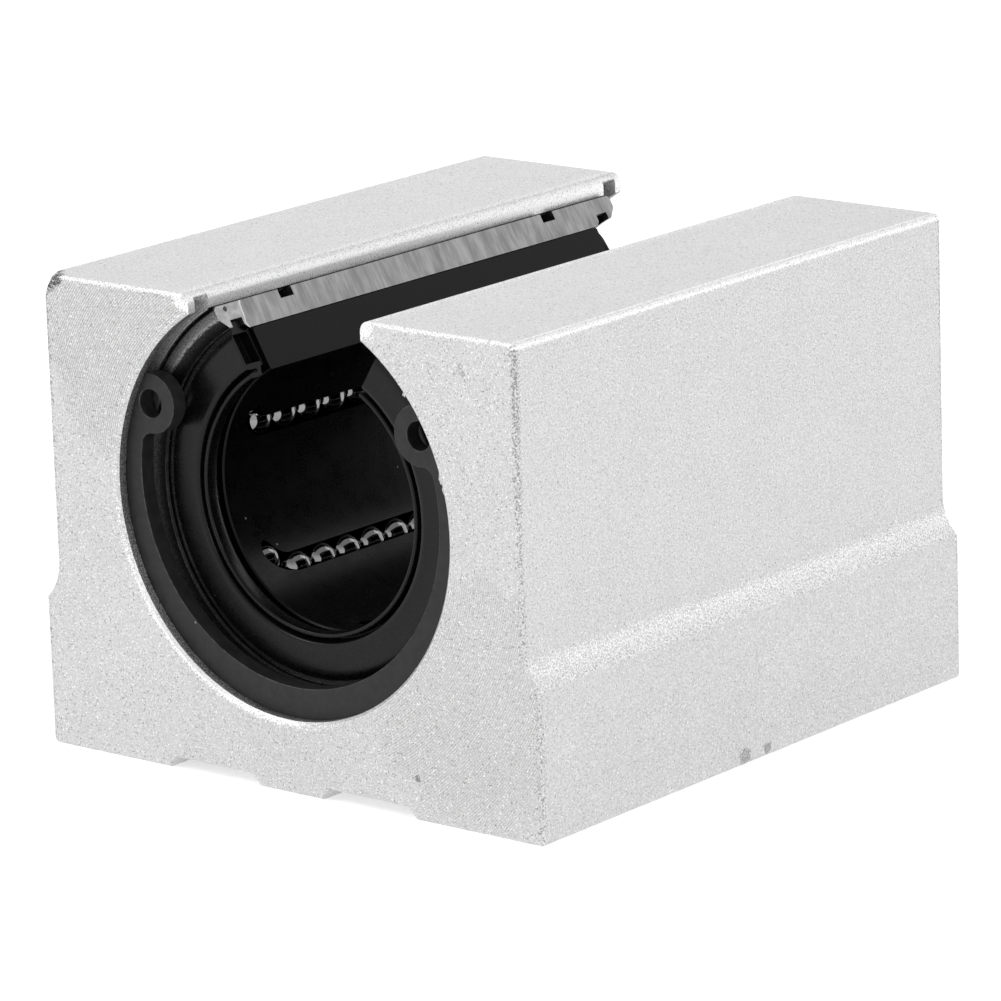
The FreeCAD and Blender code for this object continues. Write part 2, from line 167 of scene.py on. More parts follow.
@dataclass(frozen=True)
class Blot:
    """A small round mark: its middle, its reach, how ragged its rim is and how strong it is."""

    place: Place
    reach: float
    ragged: float = 0.35
    strength: float = 1.0


@dataclass(frozen=True)
class Grain:
    """A noise of grains: their size, their finer octaves, and their frequency along X, Y and Z."""

    size: float
    octaves: float = 2.0
    stretch: Place = (1.0, 1.0, 1.0)
    octave_share: float = 0.6


class Surface(Nodes):
    """Where a point of a surface lies on the block, and the patterns that are laid out from it.

    Lengths are in metres. Height and radius are taken from the bore's axis.
    """

    rim_start: float = 0.86
    rim_end: float = 1.06

    def __init__(self, material: bpy.types.Material) -> None:
        """Read the point's place and the way that its face looks.

        Args:
            material: Material that the surface gets.
        """
        super().__init__(material)
        point = self.add("TexCoord")
        self.at = point["Object"]
        self.x, self.y, self.z = self.add("SeparateXYZ", [self.at])
        facing_x, facing_y, self.facing_z = self.add("SeparateXYZ", [point["Normal"]])
        self.side, self.along, self.sideways, self.endways = (
            self.add("Math", [value], UNSIGNED)[0] for value in (self.x, self.y, facing_x, facing_y))
        self.height = self.add("Math", [self.z, BORE_AXIS_HEIGHT], MINUS)[0]
        self.radius = self.distance(self.x, self.height)

    def distance(self, across: Socket, up: Socket) -> Socket:
        """Length of the offset that has these two parts."""
        offset = self.add("CombineXYZ", [across, up])[0]
        return self.add("VectorMath", [offset], LENGTH)["Value"]

    def from_line(self, first: Socket, first_at: Value, second: Socket, second_at: Value) -> Socket:
        """Distance from a line along the block's third direction.

        Args:
            first: One of the point's two other places, or its radius.
            first_at: Where the line lies in that.
            second: The other place.
            second_at: Where the line lies in that.

        Returns:
            Socket with the distance in metres.
        """
        across, up = (self.add("Math", [value, at], MINUS)[0]
                      for value, at in ((first, first_at), (second, second_at)))
        return self.distance(across, up)

    def overlap(self, *shares: Value) -> Socket:
        """Multiply shares or tones, so that a share is left where all of them hold.

        Args:
            shares: The shares or tones.

        Returns:
            Socket with their product.
        """
        common = shares[0]
        for share in shares[1:]:
            common = self.add("Math", [common, share], TIMES)[0]
        return common

    def union(self, *shares: Socket) -> Socket:
        """Take the largest of the given shares.

        Args:
            shares: The shares.

        Returns:
            Socket with the largest.
        """
        largest = shares[0]
        for share in shares[1:]:
            largest = self.add("Math", [largest, share], LARGER)[0]
        return largest

    def band(self, value: Socket, low: float, high: float, soft: float) -> Socket:
        """Be 1 where a value lies between two limits and 0 elsewhere, with soft rims.

        Args:
            value: Socket with the value.
            low: Lower limit.
            high: Upper limit.
            soft: Width of each rim.

        Returns:
            Socket with the share.
        """
        half = soft / 2
        rise = self.add("MapRange", [value, low - half, low + half], SOFT)[0]
        fall = self.add("MapRange", [value, high - half, high + half, 1.0, 0.0], SOFT)[0]
        return self.overlap(rise, fall)

    def grain(self, grain: Grain) -> Socket:
        """Lay out grains of a real size.

        Args:
            grain: The grains.

        Returns:
            Socket with values about 0.5.
        """
        at = self.add("Mapping", {"Vector": self.at, "Scale": grain.stretch})[0]
        return self.add("TexNoise", {
            "Vector": at,
            "Scale": 1 / grain.size,
            "Detail": grain.octaves,
            "Roughness": grain.octave_share,
        })[0]

    def blots(self, marks: tuple[Blot, ...], rag: Socket) -> Socket:
        """Share of the surface that the given marks cover.

        Args:
            marks: The marks, with places in metres.
            rag: Noise that makes their rims ragged.

        Returns:
            Socket from 0 to 1.
        """
        covers = []
        for mark in marks:
            away = self.add("VectorMath", [self.at, mark.place], DISTANCE)["Value"]
            loose = self.add("Math", [rag, 2 * mark.ragged * mark.reach, away], TIMES_PLUS)[0]
            rim = mark.reach * (1 + mark.ragged)
            covers.append(self.add("MapRange", [
                loose, self.rim_start * rim, self.rim_end * rim, mark.strength, 0.0], SOFT)[0])
        return self.union(*covers)

    def tinted(self, colour: str, *tones: Value) -> Socket:
        """Colour that tones about 1 make lighter or darker."""
        tone = self.overlap(*tones)
        return self.add("VectorMath", {0: linear(colour)[:3], "Scale": tone}, SCALED)[0]

    def coats(self, base: Socket, *coats: tuple[Socket, Any]) -> Socket:
        """Lay colours over a base, one after another.

        Args:
            base: The base's colour.
            coats: For each coat, the share of the surface that it covers and its colour.

        Returns:
            Socket with the colour.
        """
        for share, colour in coats:
            base = self.add("Mix", {0: share, UNDER: base, OVER: colour}, COLOURS)[MIXED]
        return base


@dataclass(frozen=True)
class Finish:
    """A surface finish: its plain values, over which each kind of finish lays its pattern."""

    name: str
    colour: str
    metallic: float
    roughness: float
    specular: float = 0.5
    ior: float = 1.5

    def material(self) -> bpy.types.Material:
        """Build the material of this finish.

        Returns:
            The material.
        """
        made = bpy.data.materials.new(self.name)
        surface = Surface(made)
        plain = {
            "Base Color": linear(self.colour),
            "Metallic": self.metallic,
            "Roughness": self.roughness,
            "IOR": self.ior,
            "Specular IOR Level": self.specular,
        }
        shader = surface.add("BsdfPrincipled", plain | self.pattern(surface))[0]
        surface.add("OutputMaterial", {"Surface": shader})
        return made

    def pattern(self, surface: Surface) -> dict[str, Socket]:
        """Inputs of the shader that vary over the surface. A plain finish has none."""
        return {}


@dataclass(frozen=True)
class BlastedAluminium(Finish):
    """Extruded aluminium, bead-blasted all over, with its two ends faced afterwards.

    The blasting gives a pale matt metal with fine grain. Bright grains are painted along the edges, the
    slot's lips, the sloped step and the bore's mouth: painted glints that stand in for light catching
    there. The facing cut leaves fine rings about the bore. The bore itself is only machined, so it is
    greyer and streaked.
    """

    # The beads' dents are really about 0.05 mm wide, and are drawn coarser so that they show.
    dents: Grain = Grain(0.17 * MM)
    fine_dents: Grain = Grain(0.17 * MM / 1.2, 1.0)
    coarse_dents: Grain = Grain(0.17 * MM * 1.2, 1.0)
    drift: Grain = Grain(6.0 * MM, 3.0)
    bore_streaks: Grain = Grain(0.16 * MM, 3.0, (1.0, 0.25, 1.0))
    ring_rag: Grain = Grain(7.0 * MM, 3.0)
    # Feed of the facing cut, which left the rings.
    ring_pitch: float = 0.24 * MM
    ring_shade: float = 0.41
    ring_least: float = 0.10
    ring_height: float = 0.5
    dent_height: float = 0.03 * MM
    dent_strength: float = 0.35
    gloss_spread: float = 0.06
    # Colour of the painted glints on the edges, the slot's lips, the step and the bore's mouth.
    bright: str = "#ffffff"
    bare: str = "#9a9a9a"
    dark: str = "#6a6a6a"
    speck: str = "#8e8e8e"
    # Colour of the painted shade in the joint between the slot's wall and the sleeve.
    joint_shade: str = "#101010"
    # How strongly the painted glints gather, and how much fainter they are on the bare bore.
    glint_lift: float = 0.26
    bare_dimming: float = 0.45
    body_x: float = 28.35 * MM
    edge_reach: float = 0.8 * MM
    lip_reach: float = 2.3 * MM
    step_low: float = 14.4 * MM
    step_high: float = 17.6 * MM
    slot_x: float = 10.35 * MM
    slot_foot: float = 17.1 * MM
    bore_radius: float = 20.0 * MM
    groove_y: tuple[float, float] = (29.5 * MM, 31.4 * MM)
    groove_radius: float = 21.35 * MM
    ring_patches: tuple[Blot, ...] = (
        Blot((-15.0 * MM, -END_Y, 42.0 * MM), 15.0 * MM, 0.3),
        Blot((22.0 * MM, -END_Y, 12.0 * MM), 12.0 * MM, 0.4, 0.6),
        Blot((14.0 * MM, END_Y, 41.0 * MM), 14.0 * MM, 0.3),
    )
    scuffs: tuple[Blot, ...] = (
        Blot((-28.0 * MM, -32.3 * MM, 45.8 * MM), 1.5 * MM, 0.5),
        Blot((-26.8 * MM, -32.4 * MM, 45.8 * MM), 0.9 * MM, 0.5),
        Blot((-28.2 * MM, -31.2 * MM, 45.9 * MM), 1.1 * MM, 0.5),
        Blot((15.5 * MM, -END_Y, 4.0 * MM), 0.35 * MM, 0.4, 0.7),
        Blot((22.1 * MM, -END_Y, 43.3 * MM), 0.3 * MM, 0.6, 0.35),
        Blot((22.4 * MM, -END_Y, 42.6 * MM), 0.3 * MM, 0.6, 0.45),
        Blot((FLANGE_X, -2.5 * MM, 0.9 * MM), 0.9 * MM, 0.6, 0.5),
        Blot((FLANGE_X, 1.0 * MM, 0.8 * MM), 0.6 * MM, 0.6, 0.5),
    )

    def pattern(self, surface: Surface) -> dict[str, Socket]:
        """Lay out the blasted metal, the bare bore, the scuffs and specks, the painted glints on the edges
        and the painted shade in the joint.

        Args:
            surface: The surface to finish.

        Returns:
            Sockets for the shader's colour, roughness and normal.
        """
        dents = surface.grain(self.dents)
        fine = surface.grain(self.fine_dents)
        rings = self.facing_rings(surface, dents)
        bore = self.bare_bore(surface)
        scuffed = surface.tinted(self.dark, surface.add("MapRange", [fine, *NOISE, 0.35, 1.9], SOFT)[0])
        # Painted glints: where they are placed, broken up by the finest dents.
        lifted = surface.add("Math", [self.glint_places(surface), self.glint_lift, fine], TIMES_PLUS)[0]
        bright = surface.add("MapRange", [lifted, 0.57, 0.76], SOFT)[0]
        outside = surface.add("Math", [bore, -self.bare_dimming, 1.0], TIMES_PLUS)[0]
        colour = surface.coats(
            self.blasted(surface, dents, rings),
            (bore, self.machined(surface, fine)),
            (surface.blots(self.scuffs, dents), scuffed),
            (self.corner_specks(surface), linear(self.speck)),
            # Painted glints, fainter on the bare bore.
            (surface.overlap(bright, outside), linear(self.bright)),
            # Painted shade in the joint between the slot's wall and the sleeve.
            (self.painted_joint_shade(surface), linear(self.joint_shade)),
        )
        gloss = (self.roughness - self.gloss_spread, self.roughness + self.gloss_spread)
        height = surface.add("Math", [rings, -self.ring_height, dents], TIMES_PLUS)[0]
        return {
            "Base Color": colour,
            "Roughness": surface.add("MapRange", [dents, *NOISE, *gloss], SOFT)[0],
            "Normal": surface.add("Bump", {
                "Strength": self.dent_strength, "Distance": self.dent_height, "Height": height})[0],
        }

    def blasted(self, surface: Surface, dents: Socket, rings: Socket) -> Socket:
        """Colour of the blasted metal: dents that are fainter on the flat top, and darker rings.

        Args:
            surface: The surface to finish.
            dents: Noise of the beads' dents.
            rings: Share of the facing rings.

        Returns:
            Socket with the colour.
        """
        shade = surface.add("MapRange", [dents, 0.32, 0.68, 0.86, 1.12], SOFT)[0]
        evened = surface.add("MapRange", [surface.facing_z, 0.96, 0.995, 0.0, 0.75], SOFT)[0]
        to_plain = surface.add("Math", [1.0, shade], MINUS)[0]
        shade = surface.add("Math", [evened, to_plain, shade], TIMES_PLUS)[0]
        drift = surface.add("MapRange", [surface.grain(self.drift), *NOISE, 0.985, 1.012], SOFT)[0]
        drifted = surface.add("Math", [shade, drift], TIMES)[0]
        ringed = surface.add("Math", [rings, -self.ring_shade, drifted], TIMES_PLUS)[0]
        return surface.tinted(self.colour, ringed)

    def machined(self, surface: Surface, fine: Socket) -> Socket:
        """Colour of the bare bore: streaks and speckle, with painted shade that darkens it away from the
        mouth.

        Args:
            surface: The surface to finish.
            fine: Noise of the finest dents.

        Returns:
            Socket with the colour.
        """
        streaks = surface.grain(self.bore_streaks)
        # Painted shade and light: the bore darkens deeper in and is lighter at the mouth.
        mouth = (END_Y - 1.3 * MM, END_Y - 0.1 * MM)
        return surface.tinted(
            self.bare,
            surface.add("MapRange", [surface.along, *mouth, 0.75, 1.35], SOFT)[0],
            surface.add("MapRange", [streaks, *NOISE, 0.7, 1.3], SOFT)[0],
            surface.add("MapRange", [fine, *NOISE, 0.6, 1.4], SOFT)[0],
        )

    def glint_places(self, surface: Surface) -> Socket:
        """Where glints are painted: long edges, end edges, step, mouth and slot walls.

        Args:
            surface: The surface to finish.

        Returns:
            Socket from 0 to about 1.
        """
        outer_edge = surface.from_line(surface.side, self.body_x, surface.z, TOP_Z)
        end_edge = surface.from_line(surface.along, END_Y, surface.z, TOP_Z)
        slope = surface.add("Math", [surface.sideways, surface.facing_z], TIMES)[0]
        foot = (self.slot_foot - 0.1 * MM, self.slot_foot + 0.1 * MM)
        wall = surface.overlap(
            self.slot_wall(surface), surface.add("MapRange", [surface.height, *foot, 0.0, 0.8], SOFT)[0])
        return surface.union(
            surface.add("MapRange", [outer_edge, self.edge_reach / 2, self.edge_reach, 1.0, 0.0], SOFT)[0],
            self.slot_lip_glint(surface),
            surface.add("MapRange", [slope, 0.12, 0.40, 0.0, 0.62], SOFT)[0],
            surface.add("MapRange", [end_edge, 0.12 * MM, 0.5 * MM, 0.9, 0.0], SOFT)[0],
            self.mouth_highlight(surface),
            wall,
        )

    def slot_lip_glint(self, surface: Surface) -> Socket:
        """Painted glint on the slot's rounded lip, with little of it on the flat top.

        Args:
            surface: The surface to finish.

        Returns:
            Socket from 0 to 1.
        """
        edge = surface.from_line(surface.side, self.slot_x, surface.z, TOP_Z)
        near = surface.add("MapRange", [edge, self.lip_reach / 2, self.lip_reach, 1.0, 0.0], SOFT)[0]
        curved = surface.add("MapRange", [surface.facing_z, 0.85, 0.97, 1.0, 0.3], SOFT)[0]
        return surface.overlap(near, curved)

    def mouth_highlight(self, surface: Surface) -> Socket:
        """Painted highlight on the edge of the bore's mouth, strongest low down on the left.

        Args:
            surface: The surface to finish.

        Returns:
            Socket from 0 to 1.1.
        """
        edge = surface.from_line(surface.along, END_Y, surface.radius, self.bore_radius)
        return surface.overlap(
            surface.add("MapRange", [surface.height, 0.0, -13.0 * MM, 0.2, 1.1], SOFT)[0],
            surface.add("MapRange", [surface.x, 8.0 * MM, -4.0 * MM, 0.1, 1.0], SOFT)[0],
            surface.add("MapRange", [edge, 0.2 * MM, 0.9 * MM, 1.0, 0.0], SOFT)[0],
        )

    def slot_wall(self, surface: Surface) -> Socket:
        """The slot's two upright walls."""
        reach = 0.1 * MM
        return surface.band(surface.side, self.slot_x - reach, self.slot_x + reach, 0.02 * MM)

    def corner_specks(self, surface: Surface) -> Socket:
        """Dark specks along the upright edges, thickest at the top.

        Args:
            surface: The surface to finish.

        Returns:
            Socket from 0 to 0.85.
        """
        edge_x = surface.add("MapRange", [
            surface.z, self.step_low, self.step_high, FLANGE_X, self.body_x], SOFT)[0]
        edge = surface.from_line(surface.side, edge_x, surface.along, END_Y)
        amount = surface.overlap(
            surface.add("MapRange", [edge, 0.15 * MM, 0.8 * MM, 1.0, 0.0], SOFT)[0],
            surface.add("MapRange", [surface.z, 20.0 * MM, 45.0 * MM, 0.55, 1.0], SOFT)[0],
        )
        lifted = surface.add("Math", [amount, 0.20, surface.grain(self.coarse_dents)], TIMES_PLUS)[0]
        return surface.add("MapRange", [lifted, 0.60, 0.74, 0.0, 0.85], SOFT)[0]

    def bare_bore(self, surface: Surface) -> Socket:
        """The bore's wall and the circlips' grooves, which the beads didn't reach.

        Args:
            surface: The surface to finish.

        Returns:
            Socket from 0 to 1.
        """
        soft = 0.05 * MM
        return surface.overlap(
            surface.add("MapRange", [
                surface.radius, self.groove_radius + soft, self.groove_radius - soft], SOFT)[0],
            surface.add("MapRange", [surface.endways, 0.6, 0.4], SOFT)[0],
            surface.union(
                surface.add("MapRange", [
                    surface.height, self.slot_foot + 0.15 * MM, self.slot_foot - 0.05 * MM], SOFT)[0],
                surface.band(surface.along, *self.groove_y, soft)),
        )

    def painted_joint_shade(self, surface: Surface) -> Socket:
        """Painted shade in the joint between the slot's wall and the sleeve.

        Args:
            surface: The surface to finish.

        Returns:
            Socket from 0 to 1.
        """
        joint = (self.bore_radius - 0.1 * MM, self.bore_radius + 0.09 * MM)
        return surface.overlap(
            surface.band(surface.radius, *joint, 0.03 * MM),
            self.slot_wall(surface),
            surface.add("MapRange", [surface.height, 15.0 * MM, 16.0 * MM], SOFT)[0],
            surface.add("MapRange", [surface.along, 31.0 * MM, 29.6 * MM], SOFT)[0],
        )

    def facing_rings(self, surface: Surface, dents: Socket) -> Socket:
        """Fine rings about the bore that the facing cut left on the ends.

        Args:
            surface: The surface to finish.
            dents: Noise of the beads' dents, which break the rings.

        Returns:
            Socket from 0 to 1.
        """
        phase = surface.add("Math", [surface.radius, 2 * math.pi / self.ring_pitch], TIMES)[0]
        wave = surface.add("Math", [phase], SINE)[0]
        patches = surface.blots(self.ring_patches, surface.grain(self.ring_rag))
        return surface.overlap(
            surface.add("MapRange", [wave, -0.1, 0.95], SOFT)[0],
            surface.add("MapRange", [dents, 0.35, 0.60, 0.4, 1.0], SOFT)[0],
            surface.add("MapRange", [surface.endways, 0.97, 0.995], SOFT)[0],
            surface.add("Math", [self.ring_least, patches], LARGER)[0],
        )


@dataclass(frozen=True)
class GroundSteel(Finish):
    """Hardened bearing steel: turned dark ends, and slot faces ground across to a streaky grey.

    The end face keeps the dark skin of hardening, with fine turning marks. The bevel inside it is
    darkened with painted shade, and the ridge between them carries a painted highlight. Grinding left
    the slot's faces light and streaked, and smooth and lighter still near the front. Painted shade
    darkens the outer rim where it meets the housing.
    """

    fine: Grain = Grain(0.12 * MM)
    # The wheel's scratches are finer than this, and are drawn coarser so that they show.
    scratches: Grain = Grain(0.22 * MM, 4.0, (0.06, 1.0, 0.06))
    swirls: Grain = Grain(1.3 * MM, 3.0, (0.3, 1.0, 0.3))
    mottle: Grain = Grain(0.9 * MM, 3.0)
    patch_rag: Grain = Grain(3.5 * MM, 3.0)
    # Noise that breaks up the painted highlight on the ridge.
    ridge_highlight_grain: Grain = Grain(0.25 * MM)
    turning_pitch: float = 0.19 * MM
    turning_depth: float = 0.18
    scratch_height: float = 0.01 * MM
    scratch_strength: float = 0.4
    skin: str = "#7a7a7a"
    # Colour of the painted shade on the bevel.
    bevel: str = "#232323"
    # Colour of the painted highlight along the ridge.
    worn: str = "#a0a0a0"
    light: str = "#b2b2b2"
    patch_rim: str = "#dedede"
    # Colour of the painted shade on the sleeve's outer rim.
    rim_shade_colour: str = "#141414"
    pit: str = "#1c1c1c"
    bevel_radius: float = 17.7 * MM
    ridge_radius: float = 18.6 * MM
    rim_radius: float = 19.84 * MM
    patch_y: float = -25.2 * MM
    pits: tuple[Blot, ...] = (Blot((-9.6 * MM, -28.1 * MM, 43.9 * MM), 0.28 * MM, 0.3, 0.85),)

    def pattern(self, surface: Surface) -> dict[str, Socket]:
        """Lay out the ground faces, dark ends, painted bevel and rim shade, painted ridge highlight and
        pits.

        Args:
            surface: The surface to finish.

        Returns:
            Sockets for the shader's colour, roughness and normal.
        """
        fine = surface.grain(self.fine)
        scratches = surface.grain(self.scratches)
        ragged_y = surface.add("Math", [surface.grain(self.patch_rag), 1.6 * MM, surface.y], TIMES_PLUS)[0]
        smooth_patch = surface.add("MapRange", [ragged_y, self.patch_y, self.patch_y - 0.3 * MM], SOFT)[0]
        patch_edge = surface.band(ragged_y, self.patch_y - 0.22 * MM, self.patch_y - 0.07 * MM, 0.1 * MM)
        end_face = surface.add("MapRange", [surface.endways, 0.9, 0.95], SOFT)[0]
        # Painted shade on the sleeve's outer rim, where it meets the housing.
        rim_shade = surface.add("MapRange", [
            surface.radius, self.rim_radius, self.rim_radius + 0.08 * MM], SOFT)[0]
        colour = surface.coats(
            self.ground(surface, scratches),
            (smooth_patch, self.smooth(surface, fine)),
            (patch_edge, linear(self.patch_rim)),
            (end_face, self.turned_skin(surface, fine)),
            # Painted shade on the bevel.
            (surface.band(surface.endways, 0.5, 0.92, 0.1), self.bevel_shade(surface, fine)),
            # Painted highlight along the ridge.
            (self.ridge_highlight(surface), linear(self.worn)),
            # Painted shade on the outer rim.
            (rim_shade, linear(self.rim_shade_colour)),
            (surface.blots(self.pits, fine), linear(self.pit)),
        )
        gloss = (self.roughness - 0.05, self.roughness + 0.07)
        height = surface.add("Math", [scratches, fine], PLUS)[0]
        return {
            "Base Color": colour,
            "Roughness": surface.add("MapRange", [scratches, *NOISE, *gloss], SOFT)[0],
            "Normal": surface.add("Bump", {
                "Strength": self.scratch_strength, "Distance": self.scratch_height, "Height": height})[0],
        }

    def ground(self, surface: Surface, scratches: Socket) -> Socket:
        """Colour of the ground faces: fine scratches over broader swirls.

        Args:
            surface: The surface to finish.
            scratches: Noise of the wheel's scratches.

        Returns:
            Socket with the colour.
        """
        return surface.tinted(
            self.colour,
            surface.add("MapRange", [scratches, *NOISE, 0.85, 1.15], SOFT)[0],
            surface.add("MapRange", [surface.grain(self.swirls), *NOISE, 0.78, 1.22], SOFT)[0],
        )

    def smooth(self, surface: Surface, fine: Socket) -> Socket:
        """Colour of the smooth patch near the front: lighter and mottled.

        Args:
            surface: The surface to finish.
            fine: Fine noise.

        Returns:
            Socket with the colour.
        """
        return surface.tinted(
            self.light,
            surface.add("MapRange", [surface.grain(self.mottle), *NOISE, 0.80, 1.18], SOFT)[0],
            surface.add("MapRange", [fine, *NOISE, 0.93, 1.07], SOFT)[0],
        )

    def turned_skin(self, surface: Surface, fine: Socket) -> Socket:
        """Colour of the end face: hardening skin with turning marks about the bore.

        Args:
            surface: The surface to finish.
            fine: Fine noise.

        Returns:
            Socket with the colour.
        """
        phase = surface.add("Math", [surface.radius, 2 * math.pi / self.turning_pitch], TIMES)[0]
        marks = surface.add("Math", [phase], SINE)[0]
        grainy = surface.add("MapRange", [fine, *NOISE, 0.45, 1.55], SOFT)[0]
        return surface.tinted(
            self.skin, surface.add("Math", [marks, self.turning_depth, grainy], TIMES_PLUS)[0])

    def bevel_shade(self, surface: Surface, fine: Socket) -> Socket:
        """Colour of the bevel: dark painted shade, speckled, that gets lighter towards the ridge.

        Args:
            surface: The surface to finish.
            fine: Fine noise.

        Returns:
            Socket with the colour.
        """
        return surface.tinted(
            self.bevel,
            surface.add("MapRange", [
                surface.radius, self.bevel_radius, self.ridge_radius, 0.25, 1.7], SOFT)[0],
            surface.add("MapRange", [fine, 0.35, 0.75, 0.5, 2.6], SOFT)[0],
        )

    def ridge_highlight(self, surface: Surface) -> Socket:
        """Share of the ridge between bevel and end face that gets the painted highlight.

        Args:
            surface: The surface to finish.

        Returns:
            Socket from 0 to 1.
        """
        ridge = surface.from_line(surface.radius, self.ridge_radius, surface.along, SLEEVE_END_Y)
        return surface.overlap(
            surface.add("MapRange", [ridge, 0.02 * MM, 0.3 * MM, 1.0, 0.0], SOFT)[0],
            surface.add("MapRange", [surface.grain(self.ridge_highlight_grain), 0.38, 0.62, 0.15, 1.0], SOFT)[0],
        )


@dataclass(frozen=True)
class DarkFinish(Finish):
    """A dark finish with fine grain, worn slopes, dust specks and blots."""

    grain_size: float = 0.2 * MM
    tone: float = 0.2
    gloss_spread: float = 0.15
    relief_height: float = 0.01 * MM
    relief_strength: float = 0.5
    wear: float = 0.0
    wear_grain: Grain = Grain(0.6 * MM)
    worn: str = "#5a5a5a"
    dust: float = 0.0
    dust_spacing: float = 1.5 * MM
    speck: str = "#a0a0a0"
    marks: tuple[Blot, ...] = ()
    blot: str = "#050505"

    def pattern(self, surface: Surface) -> dict[str, Socket]:
        """Lay out the grain, then the marks, the wear and the dust that this finish has.

        Args:
            surface: The surface to finish.

        Returns:
            Sockets for the shader's colour, roughness and normal.
        """
        grain = surface.grain(Grain(self.grain_size, 3.0))
        cloud = surface.grain(Grain(10 * self.grain_size, 3.0))
        both = surface.add("Math", [grain, cloud], PLUS)[0]
        both_spread = (0.75, 1.25)
        tone = surface.add("MapRange", [both, *both_spread, 1 - self.tone, 1 + self.tone], SOFT)[0]
        coats = []
        if self.marks:
            coats.append((surface.blots(self.marks, cloud), linear(self.blot)))
        if self.wear:
            coats.append((self.rubbed_slopes(surface), linear(self.worn)))
        if self.dust:
            coats.append((self.dust_specks(surface), linear(self.speck)))
        gloss = (self.roughness * (1 - self.gloss_spread), self.roughness * (1 + self.gloss_spread))
        return {
            "Base Color": surface.coats(surface.tinted(self.colour, tone), *coats),
            "Roughness": surface.add("MapRange", [both, *both_spread, *gloss], SOFT)[0],
            "Normal": surface.add("Bump", {
                "Strength": self.relief_strength, "Distance": self.relief_height, "Height": grain})[0],
        }

    def rubbed_slopes(self, surface: Surface) -> Socket:
        """Share of the chamfers and rounds at the ends that handling has rubbed.

        Args:
            surface: The surface to finish.

        Returns:
            Socket from 0 to 1.
        """
        return surface.overlap(
            surface.band(surface.endways, 0.35, 0.93, 0.15),
            surface.add("MapRange", [
                surface.grain(self.wear_grain), 0.35, 0.65, 0.2 * self.wear, self.wear], SOFT)[0],
        )

    def dust_specks(self, surface: Surface) -> Socket:
        """Share that dust covers: a speck in the middle of a few cells, picked at random.

        Args:
            surface: The surface to finish.

        Returns:
            Socket from 0 to 1.
        """
        cell = surface.add("TexVoronoi", {"Vector": surface.at, "Scale": 1 / self.dust_spacing})
        chance = surface.add("SeparateColor", [cell["Color"]])[0]
        return surface.overlap(
            surface.add("MapRange", [cell["Distance"], 0.09, 0.04], SOFT)[0],
            surface.add("MapRange", [chance, 1 - self.dust, 1.001 - self.dust], SOFT)[0],
        )


@dataclass(frozen=True)
class PolishedSteel(Finish):
    """Chrome bearing steel, lapped and polished: a dark mirror with a faint haze."""

    haze: Grain = Grain(0.6 * MM)

    def pattern(self, surface: Surface) -> dict[str, Socket]:
        """Lay out the faint haze.

        Args:
            surface: The surface to finish.

        Returns:
            Sockets for the shader's colour and roughness.
        """
        haze = surface.grain(self.haze)
        tone = surface.add("MapRange", [haze, *NOISE, 0.94, 1.06], SOFT)[0]
        gloss = (self.roughness, 2 * self.roughness)
        return {
            "Base Color": surface.tinted(self.colour, tone),
            "Roughness": surface.add("MapRange", [haze, *NOISE, *gloss], SOFT)[0],
        }


# Bead-blasted aluminium: a pale, matt metal that looks nearly white under soft light.
HOUSING = BlastedAluminium("blasted_aluminium", "#d6d6d6", 1.0, 0.55)
# Hardened and ground bearing steel: a streaky mid-grey with a low shine.
SLEEVE = GroundSteel("ground_bearing_steel", "#9c9c9c", 1.0, 0.36)
# Moulded acetal: a deep, even black with a soft shine, a few flat black blots where ejector pins
# left dimples, and hardly any dust.
RETAINER = DarkFinish(
    "moulded_black_acetal", "#050505", 0.0, 0.30, 0.16, grain_size=0.22 * MM, dust=0.06,
    marks=(
        Blot((-9.5 * MM, -24.4 * MM, 39.5 * MM), 1.0 * MM, 0.6),
        Blot((-9.3 * MM, 11.2 * MM, 40.2 * MM), 0.8 * MM, 0.6),
    ))
# Moulded nitrile rubber: black with a dull skin, which shows its rounds as soft grey bands.
SEAL = DarkFinish(
    "moulded_nitrile_rubber", "#0b0b0b", 0.0, 0.27, 0.23, grain_size=0.15 * MM, tone=0.3, dust=0.10)
# Phosphated spring steel: charcoal and nearly matt, rubbed grey on its slopes.
CIRCLIP = DarkFinish(
    "phosphated_spring_steel", "#2e2e2e", 0.35, 0.46, 0.35, grain_size=0.12 * MM, tone=0.25,
    wear=0.8, dust=0.08)
# Black-oxide steel: a dark satin metal.
SCREW = DarkFinish("black_oxide_steel", "#1d1d1d", 0.8, 0.38, grain_size=0.1 * MM, wear=0.4)
# Polished bearing balls: small dark mirrors with bright highlights.
BALL = PolishedSteel("polished_ball_steel", "#909090", 1.0, 0.04)


# ---- Modelling helpers ----


def deselect_all() -> None:
    """Leave edit mode and deselect every object."""
    if bpy.context.object and bpy.context.object.mode != "OBJECT":
        bpy.ops.object.mode_set(mode="OBJECT")
    bpy.ops.object.select_all(action="DESELECT")


def pick(piece: bpy.types.Object) -> None:
    """Select one object alone and make it active.

    Args:
        piece: The object.
    """
    deselect_all()
    piece.select_set(True)
    bpy.context.view_layer.objects.active = piece


def copy_of_node(node: str, name: str) -> bpy.types.Object:
    """Copy a CAD node with its own mesh, its triangles joined.

    Args:
        node: Name of the CAD node.
        name: Name of the new piece.

    Returns:
        The copy, at the origin and with no parent.
    """
    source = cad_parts[node]
    piece = bpy.data.objects.new(name, source.data.copy())
    bpy.context.scene.collection.objects.link(piece)
    piece.data.materials.clear()
    pick(piece)
    bpy.ops.mesh.customdata_custom_splitnormals_clear()
    bpy.ops.object.mode_set(mode="EDIT")
    bpy.ops.mesh.select_mode(type="VERT")
    bpy.ops.mesh.select_all(action="SELECT")
    bpy.ops.mesh.remove_doubles(threshold=JOIN_DISTANCE)
    bpy.ops.object.mode_set(mode="OBJECT")
    return piece


